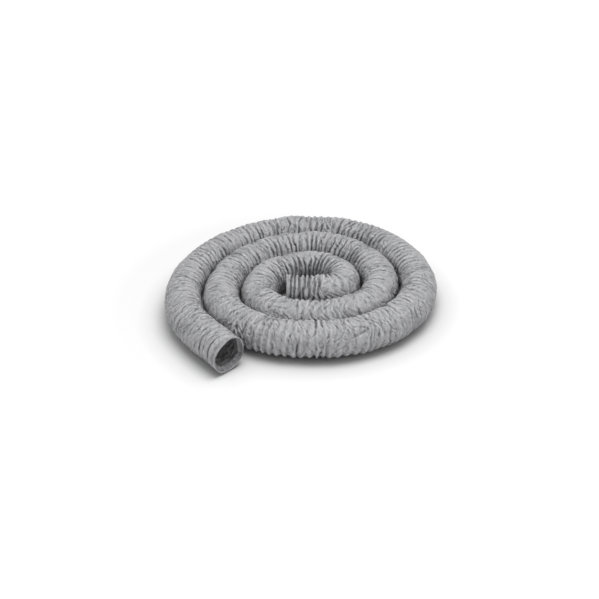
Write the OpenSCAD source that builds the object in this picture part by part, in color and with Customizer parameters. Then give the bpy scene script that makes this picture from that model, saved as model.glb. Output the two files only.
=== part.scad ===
// Flexible air duct, part-extended and lying in a flat spiral with its free end open.
//
// The duct is a spring-steel wire wound into a long helix and bonded between two thin plies:
// a smooth inner liner and a ribbed outer cover. Each ply and the wire are built run by run
// along one route, because the free end bends sideways, lifts and stretches. Lengths are in
// millimetres, and the origin is on the floor at the middle of the whole coil.

/* [Duct] */
// Bore of the duct, which slides over a spigot of 100 mm
bore_d = 102; // [80:1:125]
// Thickness of the inner liner
liner_wall = 0.4; // [0.4:0.1:0.8]
// Diameter of the spring-steel wire
wire_d = 1.3; // [1:0.1:2]
// Thickness of the outer cover between two ribs
cover_wall = 1; // [1:0.1:1.4]
// Height of a rib over the cover between the ribs
rib_h = 0.8; // [0.4:0.1:1.6]
// Spacing of the ribs where the duct lies open
rib_pitch = 24; // [22:0.5:29]
// Spacing of the ribs at the inner end, where the duct is pushed together
tight_rib_pitch = 12; // [10:1:16]
// Ribs over which the spacing opens out
rib_ease = 15; // [8:1:20]

/* [Coil] */
// Room at the middle, over one and a half duct radii, for the inner end to lie in
middle_room = 17; // [16.5:0.5:30]
// Gap between two neighbouring turns
turn_gap = 2.2; // [2:0.1:4]
// Direction that the duct's outer side faces where the tight bend becomes the spiral
coil_start = 12; // [8:1:13]
// Direction that its outer side faces where the spiral ends, counted on from the same zero
coil_end = 938; // [600:1:945]
// Radius of the tight bend at the middle of the coil, on the bend's inner side
bend_inside_r = 8; // [7:1:10]
// How far each turn swells out at the two ends of its long axis, as laid by hand
oval = 8; // [0:0.5:8]
// Direction of that long axis
oval_dir = 52; // [0:1:180]
// How far each turn swells out at three even places round it
lobe = 5; // [0:0.5:5]
// Direction of the first of those places
lobe_dir = -29; // [-60:1:60]
// How far the innermost turn leans in over the middle, at the back
middle_lean = 20; // [0:1:22]

/* [Ends] */
// Straight length at the open mouth
mouth_straight = 130; // [125:1:170]
// Cover and liner beyond the last turn of the wire, at each end
end_margin = 5; // [3:0.5:10]

/* [Moving runs] */
// Ribs on the run that bends sideways
side_bend_ribs = 4; // [3:1:5]
// Ribs on the run between the two bends
side_run_ribs = 3; // [2:1:4]
// Ribs on the run that bends upwards
lift_bend_ribs = 4; // [3:1:5]
// Ribs on the run between the upward bend and the stretching run
lift_run_ribs = 3; // [2:1:4]
// Ribs on the run that stretches
stretch_ribs = 4; // [3:1:5]

/* [Hidden] */

// Clearance between a ply and the wire
ply_gap = 0.25;
// Clearance between the round-bored liner of the mouth and the liner before it
seam_gap = 0.05;
// Sides of the duct's section, with one flat side down, one up and one to each side
sides = 8;
// Facets round the bore of the mouth
bore_facets = 128;
// Rings of the plain surfaces on one turn of the spiral
loop_rings = 24;
// Rings round the tight bend
bend_rings = 6;
// Straight length after which a ring next to a bend stands square to the duct
square_len = 8;

// Radii to the flat sides, from the bore outwards
bore_r = bore_d / 2;
liner_r = bore_r + liner_wall;
wire_in_r = liner_r + ply_gap;
wire_out_r = wire_in_r + wire_d;
cover_in_r = wire_out_r + ply_gap;
valley_r = cover_in_r + cover_wall;
rib_r = valley_r + rib_h;
turn_pitch = 2 * rib_r + turn_gap;
corner = 1 / cos(180 / sides);

// Sizes at the middle of the coil that follow the duct's own radius
bend_r = rib_r + bend_inside_r;
inner_reach = 1.5 * rib_r + middle_room;
inner_straight = 1.93 * rib_r;

// ---- Route: a straight end, a tight bend, the spiral and the straight mouth, in plan ----

function along(a) = [cos(a), sin(a)];

// The spiral is given by how far it reaches in each direction its outer side faces. The reach
// grows by one pitch a turn, so neighbouring turns are the same distance apart all the way, but
// the innermost turn leans in over the middle.
lean_end = 160;
lean_rate = 360 / (lean_end - coil_start);
function lean(a) = a < lean_end ? middle_lean * (1 - cos(lean_rate * (a - coil_start))) / 2 : 0;
function lean_slope(a) = a < lean_end
    ? middle_lean * lean_rate * sin(lean_rate * (a - coil_start)) / 2 : 0;
function reach(a) = inner_reach + turn_pitch * a / 360
    + oval * cos(2 * (a - oval_dir)) + lobe * cos(3 * (a - lobe_dir)) - lean(a);
function reach_slope(a) = turn_pitch / (2 * PI)
    - 2 * oval * sin(2 * (a - oval_dir)) - 3 * lobe * sin(3 * (a - lobe_dir)) - lean_slope(a);
function spiral_pt(a) = reach(a) * along(a) + reach_slope(a) * along(a + 90);

ring_step = 360 / loop_rings;
start_dir = coil_start + 90;
end_dir = coil_end + 90;
bend_centre = spiral_pt(coil_start) - bend_r * along(coil_start);
bend_pts = [for (i = [0 : bend_rings - 1])
    bend_centre + bend_r * along(start_dir * i / bend_rings - 90)];
// Rings stand at the same directions on every turn, so the flat walls between them are parallel
first_ring = ring_step * ceil((coil_start + 1) / ring_step);
full_rings = [for (a = [first_ring : ring_step : coil_end - 1]) a];
coil_pts = [for (a = concat([coil_start], full_rings, [coil_end])) spiral_pt(a)];
mouth_pts = [for (l = [square_len, mouth_straight]) spiral_pt(coil_end) + l * along(end_dir)];
inner_pts = [for (l = [inner_straight, square_len]) bend_pts[0] - l * along(0)];
route = concat(inner_pts, bend_pts, coil_pts, mouth_pts);
last = len(route) - 1;

function unit(v) = v / norm(v);
function ring_dir(i) = i == 0 ? along(0)
    : i == last ? along(end_dir)
    : unit(unit(route[i] - route[i - 1]) + unit(route[i + 1] - route[i]));
function running_length(i, sum = 0, k = 0) = k == i ? sum
    : running_length(i, sum + norm(route[k + 1] - route[k]), k + 1);

ring_s = [for (i = [0 : last]) running_length(i)];
duct_length = ring_s[last];
centre_x = [for (i = [0 : last]) [ring_s[i], route[i].x]];
centre_y = [for (i = [0 : last]) [ring_s[i], route[i].y]];
side_x = [for (i = [0 : last]) [ring_s[i], ring_dir(i).y]];
side_y = [for (i = [0 : last]) [ring_s[i], -ring_dir(i).x]];

// Corner j of the section at length s, with r the radius to its flat sides
function free_pt(s, j, r) = let (
        a = 360 * (j + 0.5) / sides,
        out = r * corner * cos(a),
        up = r * corner * sin(a)
    ) [
        lookup(s, centre_x) + out * lookup(s, side_x),
        lookup(s, centre_y) + out * lookup(s, side_y),
        rib_r + up
    ];

// ---- Ribs: the wire's turns, close together at the inner end ----

eased = rib_ease * (1 - exp(-(duct_length / rib_pitch) / rib_ease));
wire_length = duct_length - 2 * end_margin;
ribs = round((wire_length - tight_rib_pitch * eased) / rib_pitch + eased);
open_pitch = (wire_length - tight_rib_pitch * eased) / (ribs - eased);

// Length along the duct at turn n of the wire, which may be a fraction
function turn_s(n) = end_margin + open_pitch * n
    - (open_pitch - tight_rib_pitch) * rib_ease * (1 - exp(-n / rib_ease));

// ---- Runs: [first turn, last turn] of the wire on each stretch of the duct ----

// The run at the mouth has the turns that lie wholly on the straight
mouth_from = ribs - floor((mouth_straight - square_len - end_margin) / open_pitch);
stretch_from = mouth_from - stretch_ribs;
lift_run_from = stretch_from - lift_run_ribs;
lift_bend_from = lift_run_from - lift_bend_ribs;
side_run_from = lift_bend_from - side_run_ribs;
side_bend_from = side_run_from - side_bend_ribs;

coil_run = [0, side_bend_from];
side_bend = [side_bend_from, side_run_from];
side_run = [side_run_from, lift_bend_from];
lift_bend = [lift_bend_from, lift_run_from];
lift_run = [lift_run_from, stretch_from];
stretch_run = [stretch_from, mouth_from];
mouth_run = [mouth_from, ribs];

function run_start(run) = run[0] == 0 ? 0 : turn_s(run[0]);
function run_end(run) = run[1] == ribs ? duct_length : turn_s(run[1]);

// ---- Place: the floor point under the middle of the coil is the origin ----

// Every corner of the ribs, in order along their helix, and the duct's two square ends
outline = concat(
    [for (m = [0 : ribs * sides]) free_pt(turn_s(m / sides), m % sides, rib_r)],
    [for (s = [0, duct_length]) for (j = [0 : sides - 1]) free_pt(s, j, valley_r)]);
out_x = [for (p = outline) p.x];
out_y = [for (p = outline) p.y];
shift = -[max(out_x) + min(out_x), max(out_y) + min(out_y), 0] / 2;

function pt(s, j, r) = free_pt(s, j, r) + shift;

// ---- Solids ----

// Quad a, b, c, d as two triangles
function quad(a, b, c, d) = [[a, b, c], [a, c, d]];
function flip(faces) = [for (f = faces) [f[2], f[1], f[0]]];
function flat_list(lists) = [for (l = lists) each l];
// Triangles without those that two equal corners leave with no area
function with_area(faces) = [for (f = faces) if (f[0] != f[1] && f[1] != f[2] && f[2] != f[0]) f];

// Lengths of a run's plain rings: its two ends, and the route's rings between them
function run_rings(run) = let (a = run_start(run), b = run_end(run))
    concat([a], [for (s = ring_s) if (s > a + 1 && s < b - 1) s], [b]);

function ring_pts(rings, r) = [for (s = rings) for (j = [0 : sides - 1]) pt(s, j, r)];

// Faces of a plain tube surface whose points start at index first
function tube_faces(first, count) = flat_list([for (i = [0 : count - 2]) for (j = [0 : sides - 1])
    let (a = first + i * sides, k = (j + 1) % sides) quad(a + j, a + k, a + sides + k, a + sides + j)]);

// Faces between an outer ring and an inner ring, looking at the start of a run
function rim_faces(outer, inner) = flat_list([for (j = [0 : sides - 1])
    let (k = (j + 1) % sides) quad(outer + k, outer + j, inner + j, inner + k)]);

// Inner liner: a plain tube with its bore
module liner(run) {
    rings = run_rings(run);
    n = len(rings);
    outer = 0;
    inner = n * sides;
    end = (n - 1) * sides;
    faces = concat(
        tube_faces(outer, n),
        flip(tube_faces(inner, n)),
        rim_faces(outer, inner),
        flip(rim_faces(outer + end, inner + end)));
    color("dimgray")
        polyhedron(concat(ring_pts(rings, liner_r), ring_pts(rings, bore_r)), faces, convexity = 10);
}

// Liner of the mouth: the same section outside, with the round bore that takes the spigot
module round_liner(run) {
    length = run_end(run) - run_start(run) - seam_gap;
    mouth = mouth_pts[1];
    color("dimgray")
        translate(shift + [mouth.x, mouth.y, rib_r])
            rotate([0, 90, end_dir])
                translate([0, 0, -length])
                    difference() {
                        linear_extrude(length)
                            rotate(180 / sides)
                                circle(r = liner_r * corner, $fn = sides);
                        translate([0, 0, -1])
                            cylinder(h = length + 2, r = bore_r, $fn = bore_facets);
                    }
}

// Spring-steel wire: one unbroken helix of three sides, its flat side on the liner
module wire(run) {
    steps = (run[1] - run[0]) * sides;
    section = [[-wire_d / 2, wire_in_r], [0, wire_out_r], [wire_d / 2, wire_in_r]];
    points = [for (m = [0 : steps]) for (c = section)
        pt(turn_s(run[0] + m / sides) + c[0], m % sides, c[1])];
    walls = flat_list([for (m = [0 : steps - 1]) for (c = [0 : 2])
        let (a = 3 * m, d = (c + 1) % 3) quad(a + c, a + 3 + c, a + 3 + d, a + d)]);
    ends = [[0, 1, 2], [3 * steps + 2, 3 * steps + 1, 3 * steps]];
    color("silver")
        polyhedron(points, concat(walls, ends), convexity = 10);
}

// Outer cover: ribbed outside along the wire's helix, plain inside
module cover(run) {
    turns = run[1] - run[0];
    last_row = 2 * turns - 2;
    half = sides / 2;
    // Rows run along the helix, a rib and then a valley, and row k ends where row k + 2 starts
    rows = [for (k = [0 : last_row]) for (j = [0 : sides - 1])
        pt(turn_s(run[0] + k / 2 + j / sides), j, k % 2 == 0 ? rib_r : valley_r)];
    // The valley before the first rib leaves the start half-way round, and the last one ends so
    first_valley = [for (j = [half + 1 : sides - 1])
        pt(turn_s(run[0] - 1 / 2 + j / sides), j, valley_r)];
    last_valley = [for (j = [0 : half - 1])
        pt(turn_s(run[1] - 1 / 2 + j / sides), j, valley_r)];
    tip = pt(turn_s(run[1]), 0, rib_r);
    rings = run_rings(run);

    first_at = len(rows);
    last_at = first_at + half - 1;
    tip_at = last_at + half;
    start = tip_at + 1;
    end = start + sides;
    inner = end + sides;
    inner_end = inner + (len(rings) - 1) * sides;
    at = function (k, j)
        k == -1 ? (j <= half ? start + j : j < sides ? first_at + j - half - 1 : at(1, 0))
        : k == last_row + 1 ? (j < half ? last_at + j : end + j % sides)
        : j < sides ? k * sides + j
        : k == last_row ? tip_at
        : at(k + 2, 0);

    ribbed = flat_list([for (k = [-1 : last_row]) for (j = [0 : sides - 1])
        quad(at(k, j), at(k, j + 1), at(k + 1, j + 1), at(k + 1, j))]);
    start_faces = flat_list([for (j = [half : sides - 1])
        quad(start + j, start + (j + 1) % sides, at(-1, j + 1), at(-1, j))]);
    end_faces = flat_list([for (j = [0 : half - 1])
        quad(at(last_row + 1, j), at(last_row + 1, j + 1), end + j + 1, end + j)]);
    seams = [[start, at(0, 0), at(1, 0)], [end, tip_at, at(last_row + 1, 0)]];
    faces = concat(ribbed, start_faces, end_faces, seams,
        rim_faces(start, inner),
        flip(rim_faces(end, inner_end)),
        flip(tube_faces(inner, len(rings))));
    color("darkgray")
        polyhedron(
            concat(rows, first_valley, last_valley, [tip],
                ring_pts([run_start(run)], valley_r),
                ring_pts([run_end(run)], valley_r),
                ring_pts(rings, cover_in_r)),
            with_area(faces), convexity = 10);
}

// ---- Checks that the source prints ----

// Share of the way along stretch k of the route that is nearest to point p
function foot(p, k) = let (d = route[k + 1] - route[k])
    min(1, max(0, (p - route[k]) * d / (d * d)));
function past_an_end(p, k) = (k == 0 && foot(p, k) == 0) || (k == last - 1 && foot(p, k) == 1);
function gap_to(p, k) = norm(p - route[k] - foot(p, k) * (route[k + 1] - route[k])) - rib_r;
// Rings that are this close along the duct are neighbours, and don't count as another turn
neighbour_len = 3 * bend_r;
// Points on the two sides of the ring at each route point, over the ribs
sides_of = [for (i = [0 : last])
    [for (w = [-rib_r, rib_r]) route[i] + w * [ring_dir(i).y, -ring_dir(i).x]]];
function far_apart(i, k) = abs(ring_s[i] - ring_s[k]) > neighbour_len
    && abs(ring_s[i] - ring_s[k + 1]) > neighbour_len;
gaps = [for (i = [0 : last]) for (p = sides_of[i]) for (k = [0 : last - 1])
    if (far_apart(i, k) && !past_an_end(p, k)) gap_to(p, k)];
echo(least_gap_to_itself = min(gaps), duct_length = duct_length, ribs = ribs, open_pitch = open_pitch);
echo(size_x = max(out_x) - min(out_x), size_y = max(out_y) - min(out_y), height = 2 * rib_r);
mouth_centre = [mouth_pts[1].x, mouth_pts[1].y, rib_r] + shift;
mouth_bore_length = run_end(mouth_run) - run_start(mouth_run) - seam_gap;
echo(mouth_centre = mouth_centre, mouth_dir = end_dir % 360, mouth_bore_length = mouth_bore_length);

// Middle of a run, and its heading there
function middle(run) = let (s = (run_start(run) + run_end(run)) / 2)
    [lookup(s, centre_x) + shift.x, lookup(s, centre_y) + shift.y, rib_r,
        atan2(lookup(s, side_x), -lookup(s, side_y))];
echo(side_bend_middle = middle(side_bend));
echo(lift_bend_middle = middle(lift_bend));
echo(stretch_middle = middle(stretch_run));

cover(coil_run);  // coil_cover
wire(coil_run);  // coil_wire
liner(coil_run);  // coil_liner
cover(side_bend);  // side_bend_cover
wire(side_bend);  // side_bend_wire
liner(side_bend);  // side_bend_liner
cover(side_run);  // side_run_cover
wire(side_run);  // side_run_wire
liner(side_run);  // side_run_liner
cover(lift_bend);  // lift_bend_cover
wire(lift_bend);  // lift_bend_wire
liner(lift_bend);  // lift_bend_liner
cover(lift_run);  // lift_run_cover
wire(lift_run);  // lift_run_wire
liner(lift_run);  // lift_run_liner
cover(stretch_run);  // stretch_cover
wire(stretch_run);  // stretch_wire
liner(stretch_run);  // stretch_liner
cover(mouth_run);  // mouth_cover
wire(mouth_run);  // mouth_wire
round_liner(mouth_run);  // mouth_liner
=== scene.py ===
# %% [markdown]
# # Flexible air duct
# The real object is a length of 100 mm ducting: a long spring-steel helix bonded between an outer
# cover and an inner liner of thin coated film. It lies part-extended in a flat spiral, so its film
# is slack and creased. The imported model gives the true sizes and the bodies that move. Everything
# here is built round it, in metres, in the same frame.

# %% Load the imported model
import math

import bpy
import numpy as np
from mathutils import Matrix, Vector


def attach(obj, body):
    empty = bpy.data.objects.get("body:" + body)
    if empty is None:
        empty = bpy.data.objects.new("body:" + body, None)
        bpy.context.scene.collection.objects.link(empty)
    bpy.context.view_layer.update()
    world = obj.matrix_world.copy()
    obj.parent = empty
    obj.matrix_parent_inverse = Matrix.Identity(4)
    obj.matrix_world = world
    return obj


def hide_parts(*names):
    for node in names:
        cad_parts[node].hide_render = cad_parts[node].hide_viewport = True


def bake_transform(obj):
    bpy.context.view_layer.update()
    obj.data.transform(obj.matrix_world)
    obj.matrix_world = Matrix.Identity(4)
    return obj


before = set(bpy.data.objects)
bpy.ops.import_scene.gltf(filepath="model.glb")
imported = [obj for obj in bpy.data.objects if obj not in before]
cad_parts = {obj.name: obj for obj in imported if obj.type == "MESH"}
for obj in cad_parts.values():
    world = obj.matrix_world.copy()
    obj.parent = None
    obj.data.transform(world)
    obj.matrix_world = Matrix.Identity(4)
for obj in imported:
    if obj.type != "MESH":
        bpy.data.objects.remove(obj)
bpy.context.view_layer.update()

MM = 0.001

# %% [markdown]
# ## The camera
# A product view from the front and a little above: a long lens, so that the coil keeps the flat
# oval that the eye expects.

# %% Camera
CAMERA_TARGET = Vector((-0.0065, -0.0383, 0.030))
CAMERA_DISTANCE = 3.285
CAMERA_HEIGHT_ANGLE = math.radians(30.84)
LENS_MM = 66.1

lens = bpy.data.cameras.new("product_camera")
lens.lens = LENS_MM
lens.sensor_width = 36
camera = bpy.data.objects.new("product_camera", lens)
bpy.context.scene.collection.objects.link(camera)
back = Vector((0, -math.cos(CAMERA_HEIGHT_ANGLE), math.sin(CAMERA_HEIGHT_ANGLE)))
camera.location = CAMERA_TARGET + CAMERA_DISTANCE * back
camera.rotation_euler = (math.pi / 2 - CAMERA_HEIGHT_ANGLE, 0, 0)
bpy.context.scene.camera = camera
print("camera at", [round(v, 3) for v in camera.location])

# %% [markdown]
# ## The way the duct lies
# A duct laid in a spiral touches itself all the way round, so its turns are parallel. A circle
# whose radius grows would not do that once the coil is laid a little oval. The reach does: for
# each direction that the outer side faces, it says how far out the duct lies. It grows by one
# pitch a turn, and small waves on it make the coil oval. From the inner end outwards the duct is
# a straight piece, one tight bend, the spiral and the straight mouth.

# %% The route, in millimetres
RIB_R = 55.0            # outside radius over the wire
TURN_PITCH = 112.2      # from one turn to the next
INNER_REACH = 99.5
OVAL, OVAL_DIR = 8.0, 52.0
LOBE, LOBE_DIR = 5.0, -29.0
COIL_START, COIL_END = 12.0, 938.0
BEND_R = 63.0
INNER_STRAIGHT = 106.15
LEAN, LEAN_END = 20.0, 160.0          # how far the innermost turn leans in over the middle
MOUTH_STRAIGHT = 130.0
SHIFT = np.array([27.576, -6.630])    # puts the coil's middle over the origin


def along(degrees):
    """The direction at so many degrees."""
    a = np.radians(np.asarray(degrees, float))
    return np.stack([np.cos(a), np.sin(a)], -1)


def spiral_point(degrees):
    """Where the middle line lies when the duct's outer side faces that way."""
    a = np.asarray(degrees, float)
    oval, lobe = np.radians(2 * (a - OVAL_DIR)), np.radians(3 * (a - LOBE_DIR))
    reach = INNER_REACH + TURN_PITCH * a / 360 + OVAL * np.cos(oval) + LOBE * np.cos(lobe)
    slope = TURN_PITCH / (2 * np.pi) - 2 * OVAL * np.sin(oval) - 3 * LOBE * np.sin(lobe)
    rate = 360 / (LEAN_END - COIL_START)
    lean = np.where(a < LEAN_END, np.radians(rate * (a - COIL_START)), 0)
    reach, slope = reach - LEAN * (1 - np.cos(lean)) / 2, slope - LEAN * rate * np.sin(lean) / 2
    return reach[..., None] * along(a) + slope[..., None] * along(a + 90)


def plan_route():
    bend_centre = spiral_point(COIL_START) - BEND_R * along(COIL_START)
    bend = bend_centre + BEND_R * along(np.linspace(-90, COIL_START, 200))
    spiral = spiral_point(np.linspace(COIL_START, COIL_END, 6000))
    inner = bend[0] - along(0) * np.linspace(INNER_STRAIGHT, 0, 60)[:, None]
    mouth = spiral[-1] + along(COIL_END + 90) * np.linspace(0, MOUTH_STRAIGHT, 60)[:, None]
    return np.concatenate([inner[:-1], bend[:-1], spiral[:-1], mouth]) + SHIFT


plan = plan_route()
plan_s = np.concatenate([[0], np.cumsum(np.linalg.norm(np.diff(plan, axis=0), axis=1))])
LENGTH = plan_s[-1]
print(f"planned route {LENGTH:.0f} mm")

# %% [markdown]
# ## Laid by hand
# No hand lays a duct quite on its plan. It sways by less than a millimetre, so that its turns
# still clear each other, and lies a little off the floor in places. At the mouth both fade out,
# so that the open end keeps its place.

# %% The rings of the skin, with sway and lift
RING_STEP = 1.75            # from one ring of the skin to the next
MOST_SWAY = 0.9
LOWEST, HIGHEST = 0.15, 1.4
QUIET_MOUTH = 60.0          # length over which sway and lift fade at the mouth
QUIET_MIDDLE, EASE_IN = 320.0, 150.0        # the tight middle doesn't sway
RINGS = int(round(LENGTH / RING_STEP)) + 1
ring_s = np.linspace(0, LENGTH, RINGS)
ring_xy = np.stack([np.interp(ring_s, plan_s, plan[:, k]) for k in (0, 1)], -1)


def wander(seed, every_mm, size):
    """A smooth random line along the route."""
    knots = np.random.default_rng(seed).normal(0, size, int(LENGTH / every_mm) + 3)
    k = ring_s / every_mm
    i = k.astype(int)
    t = k - i
    t = t * t * (3 - 2 * t)
    return np.convolve(np.pad(knots[i] * (1 - t) + knots[i + 1] * t, 12, mode="edge"),
                       np.hanning(27)[1:-1] / np.hanning(27).sum(), mode="valid")


def heading_of(points):
    """The direction of travel at each ring, in radians, without jumps."""
    return np.unwrap(np.arctan2(*np.gradient(points, axis=0).T[::-1]))


heading = heading_of(ring_xy)
fade = np.clip((LENGTH - ring_s) / QUIET_MOUTH, 0, 1)
sway = np.clip(wander(41, 42, 0.8), -MOST_SWAY, MOST_SWAY) * fade \
    * np.clip((ring_s - QUIET_MIDDLE) / EASE_IN, 0, 1)
ring_xy = ring_xy + sway[:, None] * np.stack([np.sin(heading), -np.cos(heading)], -1)
lift = np.clip(0.5 + wander(42, 50, 0.8), LOWEST, HIGHEST) * fade
heading = heading_of(ring_xy)
bend_per_mm = np.gradient(heading, ring_s)
print(f"{RINGS} rings, tightest bend {1 / bend_per_mm.max():.0f} mm")

# %% [markdown]
# ## Where the wire's turns are
# The turns stand about 20 mm apart where the duct is drawn out, and 11 mm apart at the inner end,
# which is still pushed together. The spacing opens out over a few turns, and no hand draws a duct
# out evenly, so it wanders a little. Each ring of the skin is told how many turns lie before it.

# %% Turns before each ring
OPEN_PITCH, TIGHT_PITCH, EASE_TURNS = 20.0, 11.0, 9.0
END_MARGIN = 6.0
UNEVEN_TURNS, UNEVEN_PLACES = 0.16, 90
turn_list = np.arange(0, 400, 0.05)
turn_s = END_MARGIN + OPEN_PITCH * turn_list \
    - (OPEN_PITCH - TIGHT_PITCH) * EASE_TURNS * (1 - np.exp(-turn_list / EASE_TURNS))
uneven = np.random.default_rng(7).normal(0, UNEVEN_TURNS, UNEVEN_PLACES)
ring_turn = np.interp(ring_s, turn_s, turn_list) \
    + np.interp(ring_s, np.linspace(0, LENGTH, UNEVEN_PLACES), uneven)
print(f"{ring_turn[-1]:.0f} turns of wire")

# %% [markdown]
# ## One helper for every node
# Shader trees and geometry trees are built in the same way: a node, its settings, and what comes
# into its sockets. Colours are written as the eye reads them, in sRGB, and turned to linear once.

# %% Helpers for node trees and colours
def add(tree, kind, inputs=None, **settings):
    """A new node. An input is a value, a socket, or a node, which stands for its first output."""
    node = tree.nodes.new(kind)
    for name, value in settings.items():
        setattr(node, name, value)
    for key, value in (inputs or {}).items():
        if isinstance(value, bpy.types.Node):
            value = value.outputs[0]
        if isinstance(value, bpy.types.NodeSocket):
            tree.links.new(value, node.inputs[key])
        else:
            node.inputs[key].default_value = value
    return node


def empty_tree(owner):
    """The cleared node tree of a material or a world."""
    owner.use_nodes = True
    owner.node_tree.nodes.clear()
    return owner.node_tree


def linear(code):
    """An sRGB hex colour as linear RGBA."""
    values = [int(code[i:i + 2], 16) / 255 for i in (1, 3, 5)]
    return [v / 12.92 if v <= 0.04045 else ((v + 0.055) / 1.055) ** 2.4 for v in values] + [1.0]


print("middle grey in linear:", round(linear("#808080")[0], 3))


# %% Helpers for meshes
def points_of(mesh):
    """A mesh's points in millimetres, one row each."""
    flat = np.zeros(len(mesh.vertices) * 3, np.float32)
    mesh.vertices.foreach_get("co", flat)
    return flat.reshape(-1, 3) / MM


def keep_points(piece, name, kind, values):
    """Stores a value at each point of a piece, for its material."""
    layer = piece.data.attributes.new(name, kind, "POINT")
    layer.data.foreach_set("vector" if kind == "FLOAT_VECTOR" else "value",
                           np.asarray(values).astype(np.float32).ravel())


def make_piece(name, points, quads, material, tris=()):
    """A smooth mesh object from corner points in millimetres and lists of faces."""
    mesh = bpy.data.meshes.new(name)
    quads = np.asarray(quads, np.int32).reshape(-1, 4)
    tris = np.asarray(tris, np.int32).reshape(-1, 3)
    corners = np.concatenate([quads.ravel(), tris.ravel()])
    starts = np.concatenate([np.arange(len(quads)) * 4, len(quads) * 4 + np.arange(len(tris)) * 3])
    mesh.vertices.add(len(points))
    mesh.vertices.foreach_set("co", (np.asarray(points) * MM).astype(np.float32).ravel())
    mesh.loops.add(len(corners))
    mesh.loops.foreach_set("vertex_index", corners.astype(np.int32))
    mesh.polygons.add(len(starts))
    mesh.polygons.foreach_set("loop_start", starts.astype(np.int32))
    mesh.update(calc_edges=True)
    mesh.validate()
    mesh.shade_smooth()
    mesh.materials.append(material)
    piece = bpy.data.objects.new(name, mesh)
    bpy.context.scene.collection.objects.link(piece)
    return piece


print("a piece is made from points, quads, triangles and a material")

# %% [markdown]
# ## The plain wall, with Geometry Nodes
# The duct's wall follows a rule, so a node tree makes it: the route becomes a curve, a circle is
# swept along it, and each point is pushed to the radius that the wire and the sag of the film
# between two turns give it. The sag is deeper in some places than in others, by a seeded noise.

# %% An empty geometry tree, and what runs it
def new_tree(name, sizes, result):
    """A geometry node tree with its named inputs, each a kind of socket and a value."""
    tree = bpy.data.node_groups.new(name, "GeometryNodeTree")
    for label, (kind, value) in sizes.items():
        socket = tree.interface.new_socket(name=label, in_out="INPUT",
                                           socket_type="NodeSocket" + kind)
        if value is not None:
            socket.default_value = value
    tree.interface.new_socket(name=result, in_out="OUTPUT", socket_type="NodeSocketGeometry")
    return tree


def end_tree(tree, shape, finish):
    """The last nodes of each tree: real geometry, with its material."""
    real = add(tree, "GeometryNodeRealizeInstances", {0: shape})
    done = add(tree, "GeometryNodeSetMaterial", {"Geometry": real, "Material": finish})
    add(tree, "NodeGroupOutput", {0: done})
    return tree


def run_tree(tree, values, name):
    """The plain mesh that a node tree makes of the route."""
    holder = bpy.data.objects.new(name + "_route", route_mesh)
    bpy.context.scene.collection.objects.link(holder)
    modifier = holder.modifiers.new("made_by_nodes", "NODES")
    modifier.node_group = tree
    for item in tree.interface.items_tree:
        if item.name in values:
            modifier[item.identifier] = values[item.name]
    holder.update_tag()
    bpy.context.view_layer.update()
    evaluated = holder.evaluated_get(bpy.context.evaluated_depsgraph_get())
    mesh = bpy.data.meshes.new_from_object(evaluated)
    holder.modifiers.remove(modifier)
    bpy.data.objects.remove(holder)
    mesh.name = name
    return mesh


route_mesh = bpy.data.meshes.new("route_of_the_duct")
centres = np.column_stack([ring_xy, RIB_R + lift])
route_mesh.from_pydata(centres * MM, [(i, i + 1) for i in range(RINGS - 1)], [])
turn_attribute = route_mesh.attributes.new("turn", "FLOAT", "POINT")
turn_attribute.data.foreach_set("value", ring_turn.astype(np.float32))
print("route line with", RINGS, "points, each of which knows its turns")


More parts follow.
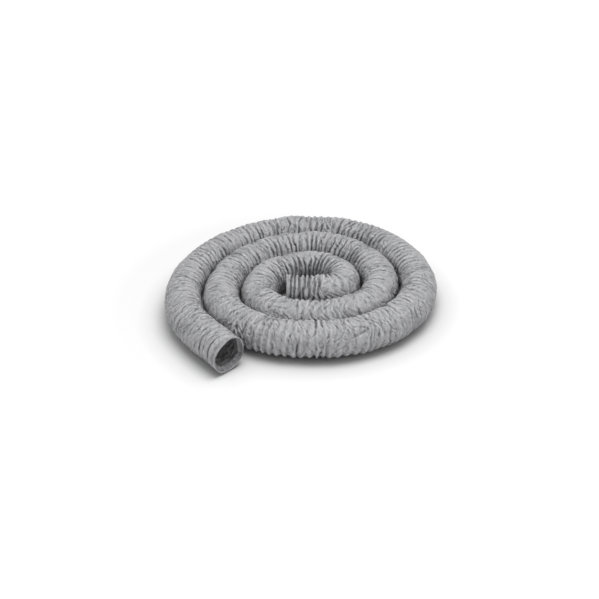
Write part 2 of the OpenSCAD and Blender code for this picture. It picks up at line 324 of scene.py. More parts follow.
# %% Geometry node tree of the wall
def wall_tree():
    tree = new_tree("wall_of_the_duct", {
        "Route": ("Geometry", None), "Rings": ("Int", 100), "Corners in a ring": ("Int", 144),
        "Radius over the wire": ("Float", 0.0544), "Sag between turns": ("Float", 0.002),
        "Seed": ("Int", 3), "Finish": ("Material", None)}, "Wall")
    given = add(tree, "NodeGroupInput").outputs
    curve = add(tree, "GeometryNodeMeshToCurve", {"Mesh": given["Route"]})
    even = add(tree, "GeometryNodeResampleCurve", {"Curve": curve, "Count": given["Rings"]})
    upright = add(tree, "GeometryNodeSetCurveNormal", {"Curve": even}, mode="Z_UP")
    turns = add(tree, "GeometryNodeInputNamedAttribute", {"Name": "turn"}, data_type="FLOAT")
    kept = add(tree, "GeometryNodeCaptureAttribute", {"Geometry": upright})
    for name, kind, source in (("centre", "VECTOR", add(tree, "GeometryNodeInputPosition")),
                               ("tangent", "VECTOR", add(tree, "GeometryNodeInputTangent")),
                               ("turn", "FLOAT", turns)):
        kept.capture_items.new(kind, name)
        tree.links.new(source.outputs[0], kept.inputs[name])
    ring = add(tree, "GeometryNodeCurvePrimitiveCircle",
               {"Resolution": given["Corners in a ring"], "Radius": 1.0})
    tube = add(tree, "GeometryNodeCurveToMesh", {"Curve": kept, "Profile Curve": ring})
    # How far round the duct a point lies
    centre = kept.outputs["centre"]
    here = add(tree, "GeometryNodeInputPosition")
    out = add(tree, "ShaderNodeVectorMath", {0: here, 1: centre}, operation="SUBTRACT")
    side = add(tree, "ShaderNodeVectorMath", {0: kept.outputs["tangent"], 1: (0, 0, 1)},
               operation="CROSS_PRODUCT")
    sideways = add(tree, "ShaderNodeVectorMath", {0: out, 1: side}, operation="DOT_PRODUCT")
    height = add(tree, "ShaderNodeSeparateXYZ", {0: out}).outputs["Z"]
    angle = add(tree, "ShaderNodeMath", {0: height, 1: sideways.outputs["Value"]},
                operation="ARCTAN2")
    # How far between two turns of the wire it lies: 0 on a turn and 1 halfway to the next
    share = add(tree, "ShaderNodeMath", {0: angle, 1: 2 * math.pi}, operation="DIVIDE")
    phase = add(tree, "ShaderNodeMath", {0: kept.outputs["turn"], 1: share}, operation="SUBTRACT")
    circle = add(tree, "ShaderNodeMath", {0: phase, 1: 2 * math.pi}, operation="MULTIPLY")
    wave = add(tree, "ShaderNodeMath", {0: circle}, operation="COSINE")
    between = add(tree, "ShaderNodeMath", {0: wave, 1: -0.5, 2: 0.5}, operation="MULTIPLY_ADD")
    # The sag there, and the radius that it leaves
    noise = add(tree, "ShaderNodeTexNoise", {"Vector": here, "W": given["Seed"], "Scale": 0.9,
                                             "Detail": 1.0}, noise_dimensions="4D")
    varied = add(tree, "ShaderNodeMath", {0: noise, 1: 1.6, 2: 0.2}, operation="MULTIPLY_ADD")
    deepest = add(tree, "ShaderNodeMath", {0: given["Sag between turns"], 1: varied},
                  operation="MULTIPLY")
    sag = add(tree, "ShaderNodeMath", {0: deepest, 1: between}, operation="MULTIPLY")
    radius = add(tree, "ShaderNodeMath", {0: given["Radius over the wire"], 1: sag},
                 operation="SUBTRACT")
    pushed = add(tree, "ShaderNodeVectorMath", {0: out, "Scale": radius}, operation="SCALE")
    place = add(tree, "ShaderNodeVectorMath", {0: centre, 1: pushed}, operation="ADD")
    shaped = add(tree, "GeometryNodeSetPosition", {"Geometry": tube, "Position": place})
    return end_tree(tree, shaped, given["Finish"])


wall_nodes = wall_tree()
print("wall tree with", len(wall_nodes.nodes), "nodes")

# %% [markdown]
# ## The wire's helix
# The wire goes round the same route once a turn. Its tree cuts out one run of the route, moves
# each point out to the helix by the turns that lie before it, and sweeps a small circle along it.

# %% Geometry node tree of the wire
def wire_tree():
    tree = new_tree("wire_of_the_duct", {
        "Route": ("Geometry", None), "Steps": ("Int", 1000), "From": ("Float", 0.0),
        "To": ("Float", 1.0), "Helix radius": ("Float", 0.0529),
        "Wire radius": ("Float", 0.00065), "Finish": ("Material", None)}, "Wire")
    given = add(tree, "NodeGroupInput").outputs
    curve = add(tree, "GeometryNodeMeshToCurve", {"Mesh": given["Route"]})
    run = add(tree, "GeometryNodeTrimCurve", {"Curve": curve}, mode="LENGTH")
    for end, distance in (("Start", given["From"]), ("End", given["To"])):
        socket = next(s for s in run.inputs if s.name == end and s.enabled)
        tree.links.new(distance, socket)
    even = add(tree, "GeometryNodeResampleCurve", {"Curve": run, "Count": given["Steps"]})
    turn = add(tree, "GeometryNodeInputNamedAttribute", {"Name": "turn"}, data_type="FLOAT")
    angle = add(tree, "ShaderNodeMath", {0: turn, 1: 2 * math.pi}, operation="MULTIPLY")
    tangent = add(tree, "GeometryNodeInputTangent")
    side = add(tree, "ShaderNodeVectorMath", {0: tangent, 1: (0, 0, 1)},
               operation="CROSS_PRODUCT")
    cosine = add(tree, "ShaderNodeMath", {0: angle}, operation="COSINE")
    sine = add(tree, "ShaderNodeMath", {0: angle}, operation="SINE")
    aside = add(tree, "ShaderNodeMath", {0: cosine, 1: given["Helix radius"]},
                operation="MULTIPLY")
    above = add(tree, "ShaderNodeMath", {0: sine, 1: given["Helix radius"]}, operation="MULTIPLY")
    out = add(tree, "ShaderNodeVectorMath", {0: side, "Scale": aside}, operation="SCALE")
    up = add(tree, "ShaderNodeCombineXYZ", {"Z": above})
    offset = add(tree, "ShaderNodeVectorMath", {0: out, 1: up}, operation="ADD")
    helix = add(tree, "GeometryNodeSetPosition", {"Geometry": even, "Offset": offset})
    section = add(tree, "GeometryNodeCurvePrimitiveCircle",
                  {"Resolution": 6, "Radius": given["Wire radius"]})
    rod = add(tree, "GeometryNodeCurveToMesh",
              {"Curve": helix, "Profile Curve": section, "Fill Caps": True})
    return end_tree(tree, rod, given["Finish"])


wire_nodes = wire_tree()
print("wire tree with", len(wire_nodes.nodes), "nodes")

# %% [markdown]
# ## The finishes
# Three materials make the duct: coated film outside, the same film in a darker grey inside, and
# galvanised spring steel. The film's patterns are drawn on the duct as if it lay straight, so that
# they follow it round each bend.
#
# The film is thin cloth that a roller coated with matt grey resin. Its highlights are wide and
# soft, and it is a little cloudy where the coat is thicker. Its folds show as fine lines in its
# relief, and shade is painted into its colour along them, in the valleys of the mesh and in narrow
# hollows, so its folds are darker than their depth alone makes them.

# %% A coated film
CLOUD, SCUFF, CRUMPLE = 26.0, 4.0, 9.0      # sizes of the film's patterns, in millimetres
HOLLOW_SHADE_REACH = 20.0                           # a hollow narrower than this gets painted shade
BUMP_DEPTH = 5.0
DRAWN_ROUND = (1.0, 0.35, 0.35)             # scuffs and lines are three times as long round it


def film_material(name, dark, middle, pale, roughness, painted_shade_tone):
    """Film with fine fold lines and painted shade. The last argument is how dark a closed fold is
    painted.
    """
    material = bpy.data.materials.new(name)
    tree = empty_tree(material)
    straight = add(tree, "ShaderNodeAttribute", attribute_name="laid_straight").outputs["Vector"]
    drawn = add(tree, "ShaderNodeVectorMath", {0: straight, 1: DRAWN_ROUND}, operation="MULTIPLY")
    clouds = add(tree, "ShaderNodeTexNoise", {"Vector": straight, "Scale": 1 / (CLOUD * MM),
                                              "Detail": 3.0, "Roughness": 0.55})
    scuffs = add(tree, "ShaderNodeTexNoise", {"Vector": drawn, "Scale": 1 / (SCUFF * MM),
                                              "Detail": 4.0, "Roughness": 0.6})
    half = add(tree, "ShaderNodeMath", {0: clouds, 1: 0.5}, operation="MULTIPLY")
    mixed = add(tree, "ShaderNodeMath", {0: scuffs, 1: 0.5, 2: half}, operation="MULTIPLY_ADD")
    colour = add(tree, "ShaderNodeValToRGB", {0: mixed})
    ramp = colour.color_ramp
    ramp.elements[0].position, ramp.elements[0].color = 0.33, linear(dark)
    ramp.elements[1].position, ramp.elements[1].color = 0.68, linear(pale)
    ramp.elements.new(0.5).color = linear(middle)

    def fold_lines(millimetres, wavy):
        """0 along crooked lines that far apart, and more away from them."""
        noise = add(tree, "ShaderNodeTexNoise",
                    {"Vector": drawn, "Scale": 1 / (millimetres * MM), "Detail": 2.0,
                     "Roughness": 0.5, "Distortion": wavy})
        offset = add(tree, "ShaderNodeMath", {0: noise, 1: 0.5}, operation="SUBTRACT")
        return add(tree, "ShaderNodeMath", {0: offset}, operation="ABSOLUTE")

    large, fine = fold_lines(CRUMPLE, 0.6), fold_lines(0.4 * CRUMPLE, 0.9)
    relief = add(tree, "ShaderNodeMath", {0: fine, 1: 0.45, 2: large}, operation="MULTIPLY_ADD")
    bump = add(tree, "ShaderNodeBump", {"Height": relief, "Distance": BUMP_DEPTH * MM,
                                        "Strength": 1.0})
    # Painted shade: darker in a fold line, in a valley of the mesh, and where the film closes on
    # itself
    line = add(tree, "ShaderNodeMapRange", {0: large, 1: 0.0, 2: 0.02, 3: 0.65, 4: 1.0})
    depth = add(tree, "ShaderNodeAttribute", attribute_name="fold").outputs["Fac"]
    valley = add(tree, "ShaderNodeMapRange", {0: depth, 1: -1.5, 2: 3.2, 3: 1.15, 4: 0.45})
    openness = add(tree, "ShaderNodeAmbientOcclusion", {"Distance": HOLLOW_SHADE_REACH * MM}, samples=4)
    painted_hollow_shade = add(tree, "ShaderNodeMapRange",
                {0: openness.outputs["AO"], 1: 0.1, 2: 0.8, 3: painted_shade_tone, 4: 1.05})
    painted_crease_shade = add(tree, "ShaderNodeMath", {0: valley, 1: line}, operation="MULTIPLY")
    tone = add(tree, "ShaderNodeMath", {0: painted_hollow_shade, 1: painted_crease_shade}, operation="MULTIPLY")
    shaded = add(tree, "ShaderNodeVectorMath", {0: colour, "Scale": tone}, operation="SCALE")
    shine = add(tree, "ShaderNodeMapRange", {0: clouds, 1: 0.3, 2: 0.7, 3: roughness - 0.08,
                                             4: roughness + 0.1})
    skin = add(tree, "ShaderNodeBsdfPrincipled", {"Base Color": shaded, "Roughness": shine,
                                                  "Normal": bump, "IOR": 1.5})
    add(tree, "ShaderNodeOutputMaterial", {0: skin})
    return material


# Outside: the coated face, an even matt grey
cover_film = film_material("cover_coated_film_matt_grey",
                           "#8A8A8C", "#A2A2A4", "#B2B2B4", 0.52, 0.5)
# Inside: the same film in a darker grey, blotchier and duller
liner_film = film_material("liner_coated_film_darker_grey",
                           "#6A6A6C", "#8E8E90", "#B2B2B4", 0.7, 1.0)
# At the ends: coated film that was turned in and pressed flat, which leaves it plainer
edge_film = film_material("edge_coated_film_pressed_flat",
                          "#868688", "#9C9C9E", "#B0B0B2", 0.6, 0.7)
print("films:", cover_film.name, liner_film.name, edge_film.name)


# %% Galvanised spring steel
# Drawn wire, dipped in zinc: a cold grey metal with a fine bright grain, and no mirror shine.
SPANGLE = 1.1               # size of the zinc's grain, in millimetres


def steel_material():
    material = bpy.data.materials.new("wire_galvanised_spring_steel")
    tree = empty_tree(material)
    here = add(tree, "ShaderNodeTexCoord").outputs["Object"]
    grain = add(tree, "ShaderNodeTexNoise", {"Vector": here, "Scale": 1 / (SPANGLE * MM)})
    tone = add(tree, "ShaderNodeValToRGB", {0: grain})
    tone.color_ramp.elements[0].color = linear("#7E8082")
    tone.color_ramp.elements[1].color = linear("#B4B6B8")
    steel = add(tree, "ShaderNodeBsdfPrincipled",
                {"Base Color": tone, "Metallic": 1.0, "Roughness": 0.42})
    add(tree, "ShaderNodeOutputMaterial", {0: steel})
    return material


spring_steel = steel_material()
print("steel:", spring_steel.name)

# %% [markdown]
# ## Slack film that buckles
# The film between two turns of wire is longer than the gap between them, and it can't stretch
# round the duct. It can only sink in, and as it sinks it has too much width, so it buckles into
# the short slanting creases that make such a duct look crumpled. The wall from the node tree is
# read as a grid of rings and corners. Each layer of the buckling is then worked out on that grid
# as a depth in millimetres, from the one valley in each gap down to small sharp crumples.

# %% The wall as a grid of rings and corners
CORNERS = 168
OVER_WIRE = 54.35           # radius of the film where it lies on the wire
wall = run_tree(wall_nodes, {"Rings": RINGS, "Corners in a ring": CORNERS,
                             "Radius over the wire": OVER_WIRE * MM,
                             "Sag between turns": 1.3 * MM, "Seed": 3, "Finish": cover_film},
                "wall")
theta = -2 * np.pi * np.arange(CORNERS) / CORNERS       # 0 on the outer side of the coil
side = np.column_stack([np.sin(heading), -np.cos(heading), np.zeros(RINGS)])
outward = (side[:, None] * np.cos(theta)[None, :, None]
           + np.array([0, 0, 1.0]) * np.sin(theta)[None, :, None]).astype(np.float32)
core = centres[:, None].astype(np.float32)
plain_sag = OVER_WIRE - np.linalg.norm(points_of(wall).reshape(RINGS, CORNERS, 3) - core, axis=2)
print("plain sag of the wall, in mm:", plain_sag.min().round(2), "to", plain_sag.max().round(2))


# %% Seeded noise on the grid, without a seam round the duct
def noise_at(seed, u, v, knots_round):
    """Smooth noise at the coordinates u along and v round, with a period of knots_round."""
    knots = np.random.default_rng(seed).normal(size=(int(u.max() - u.min()) + 3, knots_round))
    u = u - u.min()
    i, j = np.floor(u).astype(int), np.floor(v).astype(int)
    a, b = u - i, v - j
    a, b = a * a * (3 - 2 * a), b * b * (3 - 2 * b)
    near, far = knots[i, j % knots_round], knots[i, (j + 1) % knots_round]
    near2, far2 = knots[i + 1, j % knots_round], knots[i + 1, (j + 1) % knots_round]
    return ((near * (1 - b) + far * b) * (1 - a) + (near2 * (1 - b) + far2 * b) * a)


def field(seed, along_mm, knots_round, warp_along=0.0, warp_round=0.0):
    """Noise over the duct. The warps carry its pattern along and round, so that it slants."""
    u = ring_s[:, None] / along_mm + warp_along * slow_along
    v = theta[None] * knots_round / (2 * np.pi) + warp_round * slow_round + knots_round
    return noise_at(seed, u + 0 * v, v + 0 * u, knots_round)


def patchy(seed, along_mm, knots_round, middle, swing, low, high):
    """A share that differs from place to place, between low and high."""
    return np.clip(middle + swing * field(seed, along_mm, knots_round), low, high)


def creases(noise, width, sharpness=1.1):
    """1 along the lines where the noise is zero, falling off to 0 beside them."""
    return np.exp(-(np.abs(noise) / width) ** sharpness)


def facets(noise):
    """Folds noise into flat facets with sharp ridges and valleys, from 0 on a ridge to 1."""
    return np.abs((noise % 2) - 1)


slow_along = slow_round = 0.0           # no warp yet, for the two fields that give the warp
slow_along, slow_round = field(1, 42, 7), field(2, 60, 7)
print("warp fields from", slow_along.min().round(1), "to", slow_along.max().round(1))

# %% How slack the film is, and where it is pleated
FILM_PER_TURN = 28.0        # film from one turn of wire to the next, in millimetres
phase = (ring_turn[:, None] - theta[None] / (2 * np.pi)).astype(np.float32)
across = phase - np.floor(phase)        # from 0 at one turn of wire to 1 at the next
pitch_here = np.gradient(ring_s, ring_turn)[:, None]
gap_to_wire = np.abs(phase - np.round(phase)) * pitch_here
spread_here = np.maximum(0.13, 1 + bend_per_mm[:, None] * OVER_WIRE * np.cos(theta)[None])
room = pitch_here * spread_here         # the gap that the film has to cross
slack = np.clip(FILM_PER_TURN * np.clip(pitch_here / OPEN_PITCH, 0.9, 1) / room, 1.0, 4)
pleated = np.clip((slack - 1.35) / 0.45, 0, 1)
print(f"pleated over {100 * pleated.mean():.0f} % of the duct")

# %% The valley in each gap between two turns of wire
DEEPEST = 12.5              # no film sinks further than this under the wire
from_mouth = (LENGTH - ring_s)[:, None]
sag = np.clip(0.66 * room * np.sqrt(slack - 1), 4.5, DEEPEST)
uneven_sag = patchy(12, 17, 12, 0.45, 0.8, 0, 1.2) * (1 - 0.45 * np.exp(-(from_mouth / 70) ** 2))
midline = 0.5 + 0.26 * np.tanh(field(11, 13, 12))
valley = np.exp(-(np.abs(across - midline) * room / (2.4 + 0.5 * pleated)) ** 1.6)
broken = patchy(13, 9, 17, 0.72, 0.55, 0.1, 1.1)
valley = valley * (pleated + (1 - pleated) * broken)
inward = plain_sag + 0.72 * sag * valley \
    * (uneven_sag * (1 - pleated) + pleated * (1.1 + 0.25 * uneven_sag))
print("valleys down to", inward.max().round(1), "mm")

# %% Lumps, facets and long creases
LUMP, FACET, UNDER, SHORT_CREASE, LONG_CREASE = 2.2, 2.5, 3.8, 3.3, 2.5     # depths
UNDER_DIR = -1.1            # below the outer side, where the film between two turns sags most
busy = patchy(23, 45, 6, 0.55, 0.6, 0.05, 1.3)      # where the film is crumpled, and where not
inward += LUMP * patchy(26, 38, 5, 0.6, 0.7, 0, 1.8)
inward += FACET * busy * facets(0.9 * field(25, 14, 7, 1.4, 0.3))
inward += UNDER * np.clip(np.cos(theta - UNDER_DIR), 0, 1) ** 3 * np.sin(np.pi * across) ** 2
inward += SHORT_CREASE * busy * creases(field(21, 9, 9, 1.6, 0.25), 0.17)
inward += LONG_CREASE * np.clip(1.4 - busy, 0, 1) * creases(field(22, 13, 9, 1.7, 0.4), 0.15)
print("mean depth with lumps and creases", inward.mean().round(2), "mm")

# %% The skin, held by the wire in patches and bonded at both ends
HELD_WIDTH, BONDED_WIDTH = 1.4, 7.0
held = np.exp(-(gap_to_wire / HELD_WIDTH) ** 2) \
    * np.maximum(patchy(24, 26, 8, 0.55, 0.5, 0.1, 1), 0.9 * pleated)
bonded = np.exp(-(np.minimum(ring_s, LENGTH - ring_s)[:, None] / BONDED_WIDTH) ** 2)
inward = np.clip(inward - 1.8, -0.8, DEEPEST) * (1 - held) * (1 - 0.9 * bonded)
skin = (core + (OVER_WIRE - inward)[..., None] * outward).astype(np.float32)
print("film sinks by", round(float(inward.mean()), 2), "mm, at most", round(float(inward.max()), 2))


# %% Small sharp crumples
CRUMPLE_DEPTH = 1.3


def unit(vectors):
    return vectors / np.maximum(np.linalg.norm(vectors, axis=-1, keepdims=True), 1e-9)


def shading(points):
    """Normals of a grid that is closed round the duct, away from its middle line."""
    on = np.gradient(points, axis=0)
    about = np.roll(points, -1, 1) - np.roll(points, 1, 1)
    normal = unit(np.cross(about, on))
    return normal * np.sign(np.sum(normal * outward, -1).mean())


small = creases(field(31, 4.5, 13, 1.4, 0.4), 0.25, 1.2) \
    + 0.7 * creases(field(32, 6.0, 23, 1.2, 0.8), 0.22, 1.2)
skin = skin - (CRUMPLE_DEPTH * (1 - 0.6 * held) * small)[..., None] * shading(skin)
skin_radius = np.linalg.norm(skin - core, axis=2)
print("skin radius from", round(float(skin_radius.min()), 1), "to",
      round(float(skin_radius.max()), 1), "mm, mean", round(float(skin_radius.mean()), 1))

# %% [markdown]
# ## A mouth out of round
# An open end that has been handled is never a true circle. Two hands have pushed this one in, at
# the top left and the lower right, and drawn its left side forward. The same push moves the
# cover, the liner, the wire and the turned-in edge, so they stay together.

# %% The push at the mouth
PUSHES = ((9.0, 1.15, 0.75), (3.5, -1.8, 0.6))      # depth, direction and spread, in radians
PUSH_REACH = 90.0           # how far back from the mouth a push is felt
DRAWN, DRAWN_REACH = 6.0, 45.0
mouth_way = np.array([math.cos(heading[-1]), math.sin(heading[-1]), 0])
mouth_ring = int(RINGS - (PUSH_REACH + 5) / RING_STEP)      # no push reaches back to this ring


def turned(angle):
    """An angle brought between minus and plus half a turn."""
    return (angle + np.pi) % (2 * np.pi) - np.pi


def press(points):
    """Points near the mouth, moved by the pushes."""
    ahead = (points - centres[-1]) @ mouth_way
    off = points - centres[-1] - ahead[..., None] * mouth_way
    angle = np.arctan2(off[..., 2], off @ side[-1])
    push = sum(depth * np.exp(-(turned(angle - way) / spread) ** 2)
               for depth, way, spread in PUSHES)
    push = push * np.clip(1 + ahead / PUSH_REACH, 0, 1.05) ** 2
    drawn = DRAWN * np.cos(angle) * np.clip(1 + ahead / DRAWN_REACH, 0, 1.05) ** 2
    return points - push[..., None] * unit(off) + drawn[..., None] * mouth_way


skin[mouth_ring:] = press(skin[mouth_ring:])
print("mouth pressed over", RINGS - mouth_ring, "rings")

# %% [markdown]
# ## Plies with a thickness
# A piece of film is made as a closed shell: the creased face, a plainer face behind it and the
# edge between them. The face behind may cut its corners, because it is only a ply's own back, so
# it follows the deepest film near each point. The shading of the creased face is worked out on
# the whole duct before it is cut, so no edge shows where one piece ends and the next begins.

# %% Depth of the film behind the creases, and the shading of the whole skin
def deepest_near(radius, rings, corners):
    """The smallest radius within so many rings and corners."""
    low = radius
    for k in range(1, corners + 1):
        low = np.minimum(low, np.minimum(np.roll(radius, k, 1), np.roll(radius, -k, 1)))
    padded = np.pad(low, ((rings, rings), (0, 0)), mode="edge")
    return np.min([padded[k:k + len(low)] for k in range(2 * rings + 1)], axis=0)


skin_normal = shading(skin)
behind = deepest_near(skin_radius, 2, 2)
# How far each point lies below the film around it; the film's material paints shade into the
# creases by this depth.
around = (np.roll(skin_radius, 3, 1) + np.roll(skin_radius, -3, 1)) / 2
low = np.pad(skin_radius, ((3, 3), (0, 0)), mode="edge")
fold_depth = np.clip((low[6:] + low[:-6] + around) / 3 - skin_radius, -2, 4)
laid_straight = np.stack(np.broadcast_arrays(
    ring_s[:, None], OVER_WIRE * np.cos(theta)[None], OVER_WIRE * np.sin(theta)[None]), -1)
print("shading of", skin_normal.shape[0] * skin_normal.shape[1], "points")


# %% Faces of a grid, and the edge between a fine ring and a coarse one
def grid_quads(rows, columns, first=0, flip=False):
    i, j = np.meshgrid(np.arange(rows - 1), np.arange(columns), indexing="ij")
    k = (j + 1) % columns
    quads = np.stack([i * columns + j, i * columns + k, (i + 1) * columns + k,
                      (i + 1) * columns + j], -1).reshape(-1, 4) + first
    return quads[:, ::-1] if flip else quads


def rim(fine, coarse, fine_count, coarse_count, flip):
    """The edge between a ring of many corners and one of fewer, from their first indices."""
    share = fine_count // coarse_count
    k = np.arange(coarse_count)
    step = coarse + k
    after = coarse + (k + 1) % coarse_count
    tris = [np.column_stack([step, fine + k * share + n, fine + (k * share + n + 1) % fine_count])
            for n in range(share)]
    tris.append(np.column_stack([step, fine + ((k + 1) * share) % fine_count, after]))
    tris = np.concatenate(tris)
    return tris[:, ::-1] if flip else tris


print("a rim of 8 to 4 corners has", len(rim(0, 8, 8, 4, False)), "triangles")


# %% A shell between two faces of the duct
def film_shell(name, first, last, face, normal, face_step, back, back_step, material,
               inside_out=False, folds=None):
    """A closed piece of film. face and back are grids of the whole duct; the face is creased."""
    def rows_of(step):
        rows = np.arange(first, last, step)
        if len(rows) > 1 and last - rows[-1] < step / 2:
            rows = rows[:-1]
        return np.append(rows, last)

    def picked(grid, back_grid):
        """Two grids' values at the shell's own points, the face's first."""
        return np.concatenate([grid[rows][:, ::face_step].reshape(-1, 3),
                               back_grid[back_rows][:, ::back_step].reshape(-1, 3)])

    rows, back_rows = rows_of(face_step), rows_of(back_step)
    f, g = CORNERS // face_step, CORNERS // back_step
    start = len(rows) * f
    points = picked(face, back)
    quads = np.concatenate([grid_quads(len(rows), f, 0, inside_out),
                            grid_quads(len(back_rows), g, start, not inside_out)])
    tris = np.concatenate([
        rim(0, start, f, g, inside_out),
        rim((len(rows) - 1) * f, start + (len(back_rows) - 1) * g, f, g, not inside_out)])
    piece = make_piece(name, points, quads, material, tris)
    keep_points(piece, "laid_straight", "FLOAT_VECTOR", picked(laid_straight, laid_straight) * MM)
    # The fold depth goes to the film's material, which paints shade into the creases by it.
    if folds is not None:
        keep_points(piece, "fold", "FLOAT", np.concatenate(
            [folds[rows][:, ::face_step].ravel(), np.zeros(len(points) - start)]))
    shade = np.zeros_like(points)
    shade[:start] = normal[rows][:, ::face_step].reshape(-1, 3)
    piece.data.normals_split_custom_set_from_vertices(shade)
    return piece


print("shells are cut from a grid of", RINGS, "rings of", CORNERS, "corners")

# %% [markdown]
# ## Which length goes with which body
# The free end has three joints: it swings sideways, it lifts and its last part stretches. Between
# the lengths that stay as they are lie three that flex. Each is measured back from the mouth.

# %% The lengths
BACK_FROM_MOUTH = {"mouth": (0, 101), "stretch": (101, 197), "lift_run": (197, 269),
                   "lift_bend": (269, 365), "side_run": (365, 437), "side_bend": (437, 533),
                   "coil": (533, None)}
FLEXES = {"stretch": ("lift_run", "mouth"), "lift_bend": ("side_run", "lift_run"),
          "side_bend": ("coil", "side_run")}


def ring_at(back_mm):
    return 0 if back_mm is None else int(round((LENGTH - back_mm) / ring_s[1]))


spans = {name: (ring_at(far), ring_at(near)) for name, (near, far) in BACK_FROM_MOUTH.items()}
print("rings of each length:", spans)


# %% A finished piece's body and modelled part
def carry(piece, part, node):
    if part in FLEXES:
        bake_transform(piece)
    else:
        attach(piece, part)
    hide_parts(f"{part}_{node}")


print("lengths that flex:", ", ".join(FLEXES))

# %% [markdown]
# ## The cover
# The outer ply has every crease, so it has every ring and corner of the grid. The coil's share of
# it is cut in five, because one piece with so many faces would be thinned when it is exported.

# %% The cover
COIL_PIECES = 5
COVER_PLY = 0.4             # how far the cover's back lies under its deepest folds
cover_back = core + (behind - COVER_PLY)[..., None] * outward
cover_back[mouth_ring:] = press(cover_back[mouth_ring:])
for part, (first, last) in spans.items():
    cuts = np.linspace(first, last, COIL_PIECES + 1).round().astype(int) if part == "coil" \
        else [first, last]
    for n, (a, b) in enumerate(zip(cuts[:-1], cuts[1:])):
        name = f"{part}_cover_film" + (f"_{n + 1}" if part == "coil" else "")
        # The fold depth is raised in the pleats, which deepens the shade that the film's material
        # paints there.
        piece = film_shell(name, a, b, skin, skin_normal, 1, cover_back, 2, cover_film,
                           folds=fold_depth * (1 + 0.8 * pleated))
        carry(piece, part, "cover")
        print(name, len(piece.data.polygons), "faces")

# %% [markdown]
# ## The liner
# The liner is the inner ply, in a darker grey than the cover. Where a look into the mouth
# reaches, it has every crease of the cover.

# %% The liner
LINER_FACE, LINER_BACK = 1.5, 0.9       # how far its two faces lie under the cover's folds
BORE_R, OVER_LINER_R = 51.6, 52.2       # and the most that their radius may be
LINER_CRUMPLE = 2.4
crumpled = np.minimum(behind - LINER_FACE, BORE_R) - LINER_CRUMPLE * small * (1 - bonded)
liner_face = core + crumpled[..., None] * outward
liner_back = core + np.minimum(behind - LINER_BACK, OVER_LINER_R)[..., None] * outward
for face in (liner_face, liner_back):
    face[mouth_ring:] = press(face[mouth_ring:])
plain = np.minimum(deepest_near(skin_radius, 4, 3) - LINER_BACK, OVER_LINER_R)
coil_face = core + (plain - 0.5)[..., None] * outward
coil_back = core + plain[..., None] * outward
for part, (first, last) in spans.items():
    if part == "coil":
        piece = film_shell("coil_liner_film", first, last, coil_face, -shading(coil_face), 3,
                           coil_back, 3, liner_film, inside_out=True)
    else:
        piece = film_shell(f"{part}_liner_film", first, last, liner_face, -shading(liner_face),
                           1 if part == "mouth" else 2, liner_back, 4, liner_film,
                           inside_out=True, folds=-fold_depth)
    carry(piece, part, "liner")

# %% [markdown]
# ## The wire
# On the real duct the wire lies between the plies, and shows only as the ribs that it lifts the
# film into. Here it is swept on a plain helix, while the film is held to it only in patches and
# sinks below it elsewhere. That is a fault: along about half of its length the top of the wire is
# outside the cover, by 0.6 mm in the middle case and 6 mm at most. Steel and film have nearly the
# same grey, so it hardly shows. The mend is to keep the film's radius above the wire's all along
# the helix. There is one run of wire for each length of the duct.

# %% The wire, one run for each length
STEPS_PER_TURN = 32
HELIX_R, WIRE_R = 52.95, 0.65
for part, (first, last) in spans.items():
    turns = ring_turn[last] - ring_turn[first]
    mesh = run_tree(wire_nodes, {"Steps": int(turns * STEPS_PER_TURN), "From": ring_s[first] * MM,
                                 "To": ring_s[last] * MM, "Helix radius": HELIX_R * MM,
                                 "Wire radius": WIRE_R * MM, "Finish": spring_steel},
                    f"{part}_spring_wire")
    if part == "mouth":
        mesh.vertices.foreach_set("co", (press(points_of(mesh)) * MM).ravel())
    wire = bpy.data.objects.new(f"{part}_spring_wire", mesh)
    bpy.context.scene.collection.objects.link(wire)
    mesh.shade_smooth()
    carry(wire, part, "wire")
print("wire in", len(spans), "runs")

# %% [markdown]
# ## The two ends
# At each end the plies are turned in over the last turn of wire and bonded, which leaves a firm
# edge. It is a narrow band that goes over the end and a little way back inside, and no hand
# leaves it quite even.

# %% The band's outline: distance ahead of the last ring, and radius
turn_in = np.linspace(0, math.pi, 9)
BAND = np.array(
    [(-6.5, 53.9), (-5.6, 54.5), (-3.0, 54.65), (-1.2, 54.7)]
    + [(-1.2 + 1.6 * math.sin(a), 52.9 + 1.8 * math.cos(a)) for a in turn_in[1:]]
    + [(-1.9, 51.2), (-2.4, 51.3), (-2.8, 51.6)]
    + [(-2.5, 51.9), (-2.0, 52.1), (-1.4, 52.5), (-1.4, 53.3), (-3.0, 53.7)])
BAND_LIMIT = 54.9           # keeps the band off the floor
WAVE_SIZE, RIPPLE_SIZE = 1.8, 0.7


def ripples_round(rng, slowest, fastest):
    """A closed random line round the duct, made of waves that get smaller as they get faster."""
    return sum(rng.normal(0, 1 / k) * np.cos(k * theta + rng.uniform(0, 6.3))
               for k in range(slowest, fastest + 1))


print("band outline of", len(BAND), "points")


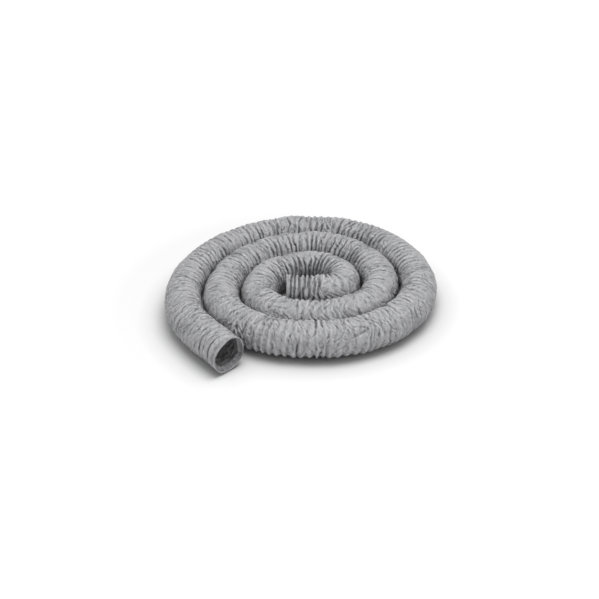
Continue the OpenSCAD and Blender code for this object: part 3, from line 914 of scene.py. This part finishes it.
# %% The turned-in edges
def edge_band(name, ring, outwards, part, seed):
    """A bonded edge: a band over the end of the duct, from outside to inside."""
    rng = np.random.default_rng(seed)
    waves = ripples_round(rng, 2, 8)
    ripples = ripples_round(rng, 3, 13)
    ahead, radius = BAND[:, 0], BAND[:, 1]
    forward = np.array([math.cos(heading[ring]), math.sin(heading[ring]), 0]) * outwards
    along_it = ahead[None, :, None] + WAVE_SIZE * waves[:, None, None] * (ahead > -6)[None, :, None]
    rippled = np.minimum(radius[None, :, None] + RIPPLE_SIZE * ripples[:, None, None], BAND_LIMIT)
    points = centres[ring] + forward * along_it + outward[ring][:, None] * rippled
    points = press(points) if part == "mouth" else points
    quads = grid_quads(CORNERS + 1, len(BAND)) % (CORNERS * len(BAND))
    if outwards < 0:
        quads = quads[:, ::-1]
    piece = make_piece(name, points.reshape(-1, 3), quads, edge_film)
    keep_points(piece, "laid_straight", "FLOAT_VECTOR", MM * np.stack(np.broadcast_arrays(
        ring_s[ring] + outwards * ahead[None], radius[None] * np.cos(theta)[:, None],
        radius[None] * np.sin(theta)[:, None]), -1))
    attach(piece, part)
    return piece


mouth_edge = edge_band("mouth_turned_in_edge", RINGS - 1, 1, "mouth", 5)
inner_edge = edge_band("inner_turned_in_edge", 0, -1, "coil", 6)
print("edges:", mouth_edge.name, inner_edge.name)

# %% [markdown]
# ## The hose is a free cord
# The coil isn't fixed to anything. Its real length is worked out here: it leaves the side bend,
# where the free end's joints begin, and runs inwards to its bare inner end.

# %% The cord
first, last = spans["coil"]
print("cord of", round(LENGTH - BACK_FROM_MOUTH["coil"][0]), "mm in the coil")

# %% [markdown]
# ## The studio
# A pale floor takes the shadow, and a contact shadow is painted into its colour near the duct. A
# wide softbox hangs over the coil, and a white surround fills in. What is seen of the surround,
# straight or in a reflection, is pure white, and the floor fades to that white with its distance
# from the coil.

# %% Floor
FLOOR_HALF = 40.0
CONTACT_REACH = 0.1         # how far from the duct its contact shadow darkens the floor
CONTACT_TONE, FLOOR_TONE = 0.42, 0.86
FADE_FROM, FADE_TO = 0.55, 1.9


def seen_straight(tree):
    """1 for what the camera, a reflection or a clear material sees, and 0 for soft light."""
    path = add(tree, "ShaderNodeLightPath").outputs
    clear = add(tree, "ShaderNodeMath", {0: path["Is Glossy Ray"], 1: path["Is Transmission Ray"]},
                operation="MAXIMUM")
    return add(tree, "ShaderNodeMath", {0: path["Is Camera Ray"], 1: clear}, operation="MAXIMUM")


floor_mesh = bpy.data.meshes.new("studio_floor")
floor_mesh.from_pydata([(FLOOR_HALF * x, FLOOR_HALF * y, 0)
                        for x, y in ((-1, -1), (1, -1), (1, 1), (-1, 1))], [], [(0, 1, 2, 3)])
floor = bpy.data.objects.new("studio_floor", floor_mesh)
bpy.context.scene.collection.objects.link(floor)
paint = bpy.data.materials.new("studio_floor_matt_white")
tree = empty_tree(paint)
# The floor's colour darkens near the duct by its ambient occlusion: a painted contact shadow, added
# to the shadow that the lights cast.
near = add(tree, "ShaderNodeAmbientOcclusion", {"Distance": CONTACT_REACH}, samples=8)
grey = add(tree, "ShaderNodeMapRange", {0: near.outputs["AO"], 1: 0.0, 2: 1.0,
                                        3: CONTACT_TONE, 4: FLOOR_TONE})
matt = add(tree, "ShaderNodeBsdfDiffuse", {"Color": grey})
spot = add(tree, "ShaderNodeTexCoord").outputs["Object"]
distance = add(tree, "ShaderNodeVectorMath", {0: spot}, operation="LENGTH").outputs["Value"]
away = add(tree, "ShaderNodeMapRange", {0: distance, 1: FADE_FROM, 2: FADE_TO, 3: 0.0, 4: 1.0})
strength = add(tree, "ShaderNodeMath", {0: seen_straight(tree), 1: away}, operation="MULTIPLY")
lightened = add(tree, "ShaderNodeEmission", {"Color": (1, 1, 1, 1), "Strength": strength})
both = add(tree, "ShaderNodeAddShader", {0: matt, 1: lightened})
add(tree, "ShaderNodeOutputMaterial", {0: both})
floor_mesh.materials.append(paint)
print("floor", 2 * FLOOR_HALF, "m wide")

# %% Light and surround
FILL_STRENGTH = 0.62
SOFTBOX_WATTS = 35

world = bpy.data.worlds.new("white_surround")
bpy.context.scene.world = world
tree = empty_tree(world)
fill = add(tree, "ShaderNodeBackground", {"Color": (1, 1, 1, 1), "Strength": FILL_STRENGTH})
white = add(tree, "ShaderNodeBackground", {"Color": (1, 1, 1, 1), "Strength": 1.0})
mixed = add(tree, "ShaderNodeMixShader", {0: seen_straight(tree), 1: fill, 2: white})
add(tree, "ShaderNodeOutputWorld", {0: mixed})

softbox = bpy.data.lights.new("softbox", "AREA")
softbox.energy = SOFTBOX_WATTS
softbox.shape, softbox.size, softbox.size_y = "RECTANGLE", 1.6, 1.2
hung = bpy.data.objects.new("softbox", softbox)
bpy.context.scene.collection.objects.link(hung)
hung.location = (0.2, -0.3, 2.2)
hung.rotation_euler = (-hung.location).to_track_quat("-Z", "Y").to_euler()
bpy.context.scene.view_settings.view_transform = "Standard"
print("studio: one softbox of", SOFTBOX_WATTS, "W and a white surround")
